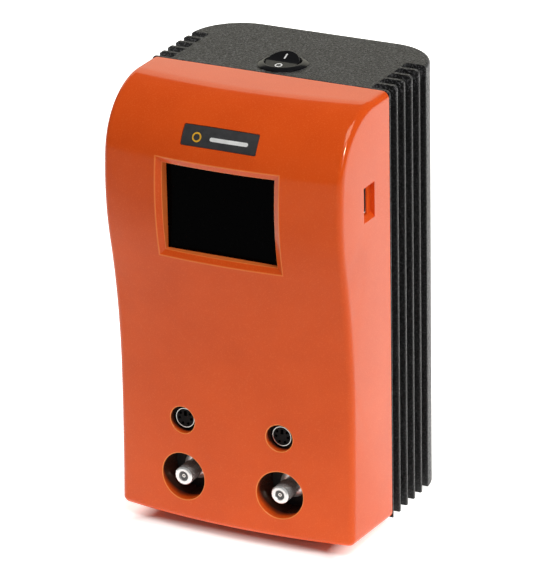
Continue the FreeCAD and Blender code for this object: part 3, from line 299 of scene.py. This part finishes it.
def label_print(name):
    """Silver label with a printed border and three ruled lines, all left blank."""
    low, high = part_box(name)
    half_x, half_z = (high.x - low.x) / 2, (high.z - low.z) / 2
    f = Finish("label_silver", linear(186, 187, 188), 0.4, 0.3)
    up = f.math("SUBTRACT", f.axis("Z"), (low.z + high.z) / 2)
    inward = f.math("MINIMUM", f.math("SUBTRACT", half_x, f.math("ABSOLUTE", f.axis("X"))),
                    f.math("SUBTRACT", half_z, f.math("ABSOLUTE", up)))
    margin, line, spacing = 0.0014, 0.0004, 0.0035
    border = f.math("MULTIPLY", f.math("GREATER_THAN", inward, margin),
                    f.math("LESS_THAN", inward, margin + line))
    rule = f.math("LESS_THAN", f.math("PINGPONG", f.math("ADD", up, spacing), spacing), 0.4 * line)
    ink = f.math("MAXIMUM", border, f.math("MULTIPLY", rule, f.math("GREATER_THAN", inward, 0.003)))
    silver = f.mix(f.remap(f.noise(160, 3, 0.6, (1, 1, 14)), 0.3, 0.7, 0, 1), linear(176, 177, 178),
                   linear(198, 199, 200))
    f.colour_from(f.mix(ink, silver, linear(38, 38, 40)))
    f.roughness_from(f.remap(f.noise(300, 2), 0.3, 0.7, 0.33, 0.46))
    return f.material


def dress(material, *names):
    """Puts a finish on CAD nodes."""
    for name in names:
        slots = nodes[name].data.materials
        slots.clear()
        slots.append(material)


nickel = plain("nickel", (0.86, 0.84, 0.80, 1), 0.17, 1.0, 900, 0.03)
thread_nickel = plain("thread_nickel", (0.94, 0.92, 0.89, 1), 0.22, 0.7, 900, 0.03)
shell_nickel = plain("shell_nickel", (0.66, 0.65, 0.62, 1), 0.2, 1.0, 900, 0.03)
gold = plain("gold_contact", linear(222, 178, 92), 0.22, 1.0, 900, 0.05)
zinc = plain("zinc_plate", linear(165, 166, 165), 0.32, 1.0, 700, 0.1)
sheet_steel = plain("sheet_steel", linear(168, 170, 172), 0.34, 1.0, 500, 0.1)
# Near-black steel for the wells' floor: its dark colour is painted shade.
shade_dark_steel = plain("steel_coloured_as_shade", (0.012, 0.010, 0.010, 1), 0.5, 0.0, 500, 0.1)
satin_black = plain("satin_black", (0.007, 0.007, 0.008, 1), 0.16, 0.0, 1200, 0.06, 0.2)
socket_black = plain("socket_black", (0.005, 0.0035, 0.0035, 1), 0.5, specular=0.12)
insulator_grey = plain("insulator_grey", (0.09, 0.09, 0.09, 1), 0.4)
board_green = plain("board_green", linear(22, 92, 52), 0.4)
ribbon_grey = plain("ribbon_grey", linear(150, 150, 154), 0.5)
core_iron = plain("core_iron", linear(58, 58, 60), 0.5, 0.7)
tape_yellow = plain("tape_yellow", linear(205, 176, 62), 0.45)
sleeve_blue = plain("sleeve_blue", linear(20, 28, 66), 0.4)
bare_aluminium = plain("bare_aluminium", linear(196, 198, 200), 0.35, 1.0)
lead_brown = plain("lead_brown", linear(90, 48, 26), 0.45)
foot_rubber = plain("foot_rubber", linear(24, 24, 24), 0.75, 0.0, 1500, 0.3)
badge = plain("badge_charcoal", (0.035, 0.035, 0.037, 1), 0.45, 0.0, 1600, 0.35)
screw_black = plain("screw_black", (0.02, 0.02, 0.021, 1), 0.3, 0.6, 900, 0.1)
fuse_glass = plain("fuse_glass", linear(200, 205, 205), 0.1)
print_white = plain("print_white", (0.86, 0.86, 0.84, 1), 0.4, 0.0, 900, 0.05)
print_amber = plain("print_amber", (0.86, 0.45, 0.02, 1), 0.4, 0.0, 900, 0.05)

dress(orange_lacquer(), "front_cover")
dress(black_powder_coat(), "finned_housing", "base_plate")
dress(badge, "name_plate")
dress(display_glass(), "display_window", "display_module")
dress(satin_black, "switch_body", "rocker", "power_inlet", "fuse_drawer", "power_transistors",
      "control_chips", "cover_screws", "base_screws", "inlet_screws")
dress(socket_black, "left_accessory_socket", "right_accessory_socket", "usb_tongue")
dress(nickel, "left_coax_body", "right_coax_body", "coax_nuts", "usb_shell", "ground_jack",
      "ground_jack_nut", "inlet_blades", "switch_terminals", "coax_contacts")
dress(gold, "accessory_contacts")
dress(shell_nickel, "accessory_shells")
dress(insulator_grey, "coax_insulators")
# The wells' floor plate is sheet steel, coloured near-black as painted shade.
dress(shade_dark_steel, "output_plate")
dress(sheet_steel, "front_bulkhead", "output_legs", "rf_shield")
dress(zinc, "display_screws", "control_standoffs", "control_screws", "output_screws", "bulkhead_screws",
      "power_standoffs", "power_screws")
dress(board_green, "display_board", "control_board", "output_board", "power_board")
dress(ribbon_grey, "display_ribbon", "board_link_ribbon")
dress(core_iron, "transformer_core")
dress(tape_yellow, "transformer_winding")
dress(sleeve_blue, "capacitors")
dress(bare_aluminium, "heat_bridges")
dress(lead_brown, "mains_leads")
dress(fuse_glass, "fuses")
dress(label_print("rating_label"), "rating_label")
dress(foot_rubber, *[name for name in nodes if name.startswith("rubber_foot")])


def smooth(piece, angle):
    """Shades a piece smoothly, with the edges sharper than angle, in degrees, kept sharp."""
    piece.data.polygons.foreach_set("use_smooth", np.ones(len(piece.data.polygons), bool))
    piece.modifiers.new("edges", "EDGE_SPLIT").split_angle = math.radians(angle)


for name in nodes:
    nodes[name].modifiers.new("weld", "WELD").merge_threshold = 2e-6
    smooth(nodes[name], 28)


# ---- printed marks and other small pieces -------------------------------------------
def piece_from(name, grids, material, body, rows_close=False):
    """Piece from grids of points whose columns go round.

    A grid's rows also go round when rows_close is true. Otherwise its first and last rows may
    each shrink to one point, and are capped flat when they don't.
    """
    faces, start = [], 0
    for points in grids:
        rows, columns = points.shape[:2]
        row = np.arange(rows if rows_close else rows - 1)[:, None]
        column = np.arange(columns)[None, :]
        after, beside = (row + 1) % rows, (column + 1) % columns
        quads = np.stack([row * columns + column, row * columns + beside, after * columns + beside,
                          after * columns + column], -1).reshape(-1, 4) + start
        faces += quads.tolist()
        if not rows_close:
            faces.append((start + np.arange(columns))[::-1].tolist())
            faces.append((start + (rows - 1) * columns + np.arange(columns)).tolist())
        start += rows * columns
    mesh = bpy.data.meshes.new(name)
    mesh.from_pydata(np.concatenate([points.reshape(-1, 3) for points in grids]), [], faces)
    shape = bmesh.new()
    shape.from_mesh(mesh)
    bmesh.ops.remove_doubles(shape, verts=shape.verts, dist=1e-7)
    bmesh.ops.recalc_face_normals(shape, faces=shape.faces)
    shape.to_mesh(mesh)
    shape.free()
    mesh.materials.append(material)
    piece = bpy.data.objects.new(name, mesh)
    bpy.context.scene.collection.objects.link(piece)
    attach(piece, body)
    return piece


def bar_rows(length, wide, thick, sunk, stations=41):
    """Closed skin of a printed bar with round ends: a flat section carried along its length.

    The half width at a station is the end radius along the straight part and follows a circle
    beyond it. Stations crowd towards the ends as a cosine does.
    """
    radius = wide / 2
    along = -np.cos(np.linspace(0, np.pi, stations)) * length / 2
    beyond = np.maximum(np.abs(along) - (length / 2 - radius), 0)
    half = np.sqrt(np.maximum(radius ** 2 - beyond ** 2, 0))
    shares = np.array([-1.0, -0.9, 0.0, 0.9, 1.0, 1.0, 0.0, -1.0])
    heights = np.array([0.6 * thick, thick, thick, thick, 0.6 * thick, -sunk, -sunk, -sunk])
    return np.stack([np.tile(along[:, None], (1, shares.size)), half[:, None] * shares,
                     np.tile(heights, (stations, 1))], -1)


def ring_rows(radius, wide, thick, sunk, count=64):
    """Closed skin of a printed ring: a small box section carried round a circle."""
    angle = np.linspace(0, 2 * np.pi, count, endpoint=False)
    across = np.array([-0.5, -0.42, 0.42, 0.5, 0.5, -0.5]) * wide
    heights = np.array([thick * 0.6, thick, thick, thick * 0.6, -sunk, -sunk])
    out = np.tile(radius + across, (count, 1))
    return np.stack([out * np.cos(angle)[:, None], out * np.sin(angle)[:, None],
                     np.tile(heights, (count, 1))], -1)


rocker_pivot = Vector(next(joint for joint in frame["joints"] if joint["name"] == "rocker_tilt")["pos_m"])
badge_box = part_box("name_plate")


def on_rocker(flat, along):
    """Puts a mark on one half of the rocker.

    Across stays X. The mark's second axis runs along the half, along millimetres from the
    valley between the halves, and its height stands square to the half. Each half rises
    7 degrees from the valley, 3 mm over the pivot, and the rocker is turned back 15 degrees.
    """
    half_rise, valley, turned_back = 7, 3.0, 15
    rise = math.radians(half_rise) * math.copysign(1, along)
    turn = math.radians(turned_back)
    run = flat[..., 1] + along
    y = run * math.cos(rise) - flat[..., 2] * math.sin(rise)
    z = valley + run * math.sin(rise) + flat[..., 2] * math.cos(rise)
    return np.stack([flat[..., 0] * MM + rocker_pivot.x,
                     (y * math.cos(turn) - z * math.sin(turn)) * MM + rocker_pivot.y,
                     (y * math.sin(turn) + z * math.cos(turn)) * MM + rocker_pivot.z], -1)


def shoulder_centre():
    """Distance behind the joint of the shoulder arc's middle, from the bulge arc that it touches."""
    step = math.sqrt((BULGE - SHOULDER) ** 2 - (BULGE_DROP - SHOULDER) ** 2)
    return BULGE - BULGE_OUT - step


def on_badge(flat, aside):
    """Puts a mark on the name plate, at the plate's middle height.

    The plate follows a surface turned about the cover's upright crown axis. Its side profile
    there is the shoulder's arc, so a mark's second axis runs round that arc from the plate's
    middle, its first round the crown, and its height shortens the inset from the front.
    """
    plate_inset = 0.3
    centre_z = top_z / MM - SHOULDER
    middle_z = (badge_box[0].z + badge_box[1].z) / 2 / MM
    lean = math.asin((middle_z - centre_z) / SHOULDER)
    radius = SHOULDER - plate_inset + flat[..., 2]
    angle = lean + flat[..., 1] / SHOULDER
    reach = CROWN - (shoulder_centre() - radius * np.cos(angle))
    turn = (flat[..., 0] + aside) / reach
    return np.stack([reach * np.sin(turn) * MM, (CROWN - reach * np.cos(turn)) * MM + joint_y,
                     (centre_z + radius * np.sin(angle)) * MM], -1)


PRINT, SUNK = 0.05, 0.12      # film's height over its surface and its depth under it, in millimetres
upright_bar = bar_rows(3.9, 0.8, PRINT, SUNK)[..., [1, 0, 2]]
piece_from("switch_on_mark", [on_rocker(upright_bar, 4.1)], print_white, "switch_rocker")
piece_from("switch_off_mark", [on_rocker(ring_rows(1.55, 0.7, PRINT, SUNK), -4.2)],
           print_white, "switch_rocker", True)
piece_from("badge_bar", [on_badge(bar_rows(20.5, 2.0, PRINT, SUNK), 5.2)],
           print_white, "station")
piece_from("badge_ring", [on_badge(ring_rows(2.1, 0.8, PRINT, SUNK), -12.2)],
           print_amber, "station", True)


def outlet_barrel(node):
    """Threaded coaxial barrel with its flange and shank, turned about an axis along Y.

    The section's radius against depth is the turned part's own; over the thread a V tooth is
    taken off it whose phase is depth over pitch minus the turn, so the groove is a helix.
    """
    low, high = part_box(node)
    x, z, front, back = (low.x + high.x) / 2, (low.z + high.z) / 2, low.y, high.y
    bore, thread, flange, shank = 2.5 * MM, 4.76 * MM, (high.x - low.x) / 2, 4.6 * MM
    pitch, tooth = 0.794 * MM, 0.18 * MM
    seat = back - 10.0 * MM
    run = np.linspace(front + 1.6 * MM, front + 9.5 * MM, 112)
    before = [(bore, front + 0.25 * MM), (bore + 0.25 * MM, front), (thread - 0.75 * MM, front),
              (thread - 0.6 * MM, front + 0.06 * MM), (thread - 0.06 * MM, front + 0.6 * MM)]
    after = [(thread - 0.5 * MM, front + 10.0 * MM), (thread - 0.5 * MM, seat - 2.25 * MM),
             (thread - 0.45 * MM, seat - 2.2 * MM), (flange - 0.45 * MM, seat - 2.2 * MM),
             (flange - 0.35 * MM, seat - 2.15 * MM), (flange - 0.05 * MM, seat - 1.85 * MM),
             (flange, seat - 1.75 * MM), (flange, seat), (shank, seat), (shank, back), (bore, back)]
    reach = np.concatenate([[r for r, y in before], np.full(run.size, thread), [r for r, y in after]])
    depth = np.concatenate([[y for r, y in before], run, [y for r, y in after]])
    angle = np.linspace(0, 2 * np.pi, 96, endpoint=False)
    phase = (depth[:, None] / pitch - angle[None, :] / (2 * np.pi)) % 1.0
    fade = np.clip((depth - run[0]) / (0.5 * MM), 0, 1) * np.clip((run[-1] - depth) / (0.5 * MM), 0, 1)
    radius = reach[:, None] - tooth * fade[:, None] * (1 - np.abs(2 * phase - 1)) ** 0.8
    return np.stack([x + radius * np.cos(angle), np.broadcast_to(depth[:, None], radius.shape),
                     z + radius * np.sin(angle)], -1)


for node in ("left_coax_body", "right_coax_body"):
    barrel = piece_from(node.replace("body", "barrel"), [outlet_barrel(node)], thread_nickel, "station",
                        True)
    smooth(barrel, 30)
    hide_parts(node)


def pan_screws(node, head, tall, shank, towards):
    """Pan head screws with a cross recess, one at each corner of the node's box.

    Over the head the height is a dome, tall less a share that grows with the fourth power of
    the distance from its middle. It drops by the recess where either arm of the cross reaches,
    with sloped walls: an arm's depth is its half width less the distance from its middle line.
    """
    low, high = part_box(node)
    along = int(np.argmax(np.abs(towards)))
    sign = towards[along]
    across = [axis for axis in range(3) if axis != along]
    rings, spokes = 26, 96
    share = np.linspace(0, 1, rings)[:, None] * np.ones((1, spokes))
    angle = np.linspace(0, 2 * np.pi, spokes, endpoint=False)[None, :] * np.ones((rings, 1))
    u, v = share * head * np.cos(angle), share * head * np.sin(angle)
    dome = tall * (1 - 0.4 * share ** 4)
    arm_width, arm_length = 0.16 * head, 0.56 * head
    arms = np.maximum(np.minimum(arm_width - np.abs(v), (arm_length - np.abs(u)) * 0.5),
                      np.minimum(arm_width - np.abs(u), (arm_length - np.abs(v)) * 0.5))
    top = dome - np.clip(arms * 5, 0, 0.55 * tall)
    length = (high[along] - low[along]) - tall
    tip = 0.0006
    below = [(head, 0.45 * tall), (head, 0.05 * tall), (head - 0.0002, 0.0), (shank, 0.0),
             (shank, tip - length), (shank - tip, -length), (0.0, -length)]
    turn = angle[:1]
    rings_u = np.concatenate([u] + [r * np.cos(turn) for r, h in below])
    rings_v = np.concatenate([v] + [r * np.sin(turn) for r, h in below])
    height = np.concatenate([top] + [np.full(turn.shape, h) for r, h in below])
    outer = high[along] if sign > 0 else low[along]
    grids = []
    for first in sorted({round(low[across[0]] + head, 6), round(high[across[0]] - head, 6)}):
        for second in sorted({round(low[across[1]] + head, 6), round(high[across[1]] - head, 6)}):
            grid = np.empty(rings_u.shape + (3,))
            grid[..., across[0]] = first + rings_u
            grid[..., across[1]] = second + rings_v
            grid[..., along] = outer - sign * tall + sign * height
            grids.append(grid)
    screws = piece_from(node.replace("screws", "cross_screws"), grids, screw_black, "station")
    smooth(screws, 35)
    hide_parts(node)


pan_screws("inlet_screws", 0.0029, 0.0007, 0.0015, (0, 1, 0))
pan_screws("cover_screws", 0.0034, 0.0030, 0.00165, (0, 1, 0))
pan_screws("base_screws", 0.0029, 0.0014, 0.0015, (0, 0, -1))


# ---- studio -------------------------------------------------------------------------
def white_table():
    """White paper lit from below, glowing more towards the back, with a painted shadow under the object.
    """
    box_front, box_back, dim, bright = -0.38, 0.10, 0.05, 1.14
    shadow_full_within, shadow_gone_beyond = 0.048, 0.061
    paper = Finish("white_table", (0.76, 0.76, 0.76, 1), 0.9)
    paper.set("Specular IOR Level", 0.0)
    paper.set("Emission Color", (1, 0.99, 0.96, 1))
    glow = paper.remap(paper.axis("Y"), box_front, box_back, dim, bright)
    from_middle = paper.math("MAXIMUM", paper.math("ABSOLUTE", paper.axis("X")),
                             paper.math("ABSOLUTE", paper.axis("Y")))
    # Painted shadow: the glow fades out under the object.
    outside_painted_shadow = paper.remap(from_middle, shadow_full_within, shadow_gone_beyond, 0, 1)
    paper.link(paper.math("MULTIPLY", glow, outside_painted_shadow), paper.shader.inputs["Emission Strength"])
    return paper.material


def studio():
    """Table top under the object, and a dim white room."""
    reach = 6.0
    corners = [(-reach, -reach, 0), (reach, -reach, 0), (reach, reach, 0), (-reach, reach, 0)]
    floor_mesh = bpy.data.meshes.new("floor")
    floor_mesh.from_pydata(corners, [], [(0, 1, 2, 3)])
    floor = bpy.data.objects.new("floor", floor_mesh)
    bpy.context.scene.collection.objects.link(floor)
    floor_mesh.materials.append(white_table())

    world = bpy.data.worlds.new("studio")
    bpy.context.scene.world = world
    world.use_nodes = True
    background = world.node_tree.nodes["Background"]
    background.inputs["Color"].default_value = (1, 1, 1, 1)
    background.inputs["Strength"].default_value = 0.12


def soft_box(name, direction, distance, size, radiance):
    """Square-on rectangular light aimed at the middle of the object, as bright as radiance."""
    data = bpy.data.lights.new(name, "AREA")
    data.shape = "RECTANGLE"
    data.size, data.size_y = size
    data.energy = radiance * math.pi * size[0] * size[1]
    light = bpy.data.objects.new(name, data)
    bpy.context.scene.collection.objects.link(light)
    towards = Vector(direction).normalized()
    light.location = middle + towards * distance
    light.rotation_mode = "QUATERNION"
    light.rotation_quaternion = (-towards).to_track_quat("-Z", "Y")
    return light


def lights():
    """Key light on the right, a large one above, a pale backdrop behind and a weak fill in front.

    The floor wash falls on the table behind the object and isn't mirrored. The edge strip gives
    only reflections: the thin streak on the cover's rounded right edge.
    """
    soft_box("key_right", (0.80, -0.45, 0.38), 3.0, (0.6, 1.2), 2.15)
    soft_box("high_right", (0.28, -0.21, 0.92), 3.0, (1.8, 1.8), 6.1)
    back = soft_box("backdrop", (-0.43, 0.82, 0.42), 2.2, (3.0, 1.1), 0.95)
    back.data.color = (1.0, 0.97, 0.80)
    fill = soft_box("front_fill", (-0.05, -0.98, 0.40), 3.0, (1.2, 1.2), 0.55)
    fill.visible_glossy = False
    wash = soft_box("floor_wash", (0.35, 0.82, 0.55), 1.9, (2.6, 1.0), 1.2)
    wash.rotation_quaternion = Vector((0, -0.15, -1)).to_track_quat("-Z", "Y")
    wash.visible_glossy = False
    strip = soft_box("edge_strip", (0.80, -0.43, 0.62), 3.0, (0.25, 0.9), 90)
    strip.visible_diffuse = False


def camera():
    """Camera at 27.5 degrees to the right of the front and 22 degrees up, a long lens."""
    azimuth, elevation, roll = (math.radians(x) for x in (27.49, 22.088, -1.106))
    back = Vector((math.sin(azimuth) * math.cos(elevation), -math.cos(azimuth) * math.cos(elevation),
                   math.sin(elevation)))
    level = Vector((math.cos(azimuth), math.sin(azimuth), 0))
    upright = back.cross(level)
    right = math.cos(roll) * level + math.sin(roll) * upright
    up = -math.sin(roll) * level + math.cos(roll) * upright
    aim_height = 0.12893
    distance = 2.0682
    aside, below = 0.001714, -0.014921
    data = bpy.data.cameras.new("camera")
    data.sensor_width = 36.0
    data.lens = 260.2
    data.clip_start, data.clip_end = 0.1, 30
    eye = bpy.data.objects.new("camera", data)
    bpy.context.scene.collection.objects.link(eye)
    place = Vector((0, joint_y, under_z + aim_height)) + back * distance + right * aside + up * below
    eye.matrix_world = Matrix((right, up, back)).transposed().to_4x4()
    eye.location = place
    bpy.context.scene.camera = eye


studio()
lights()
camera()
bpy.context.scene.view_settings.view_transform = "Standard"
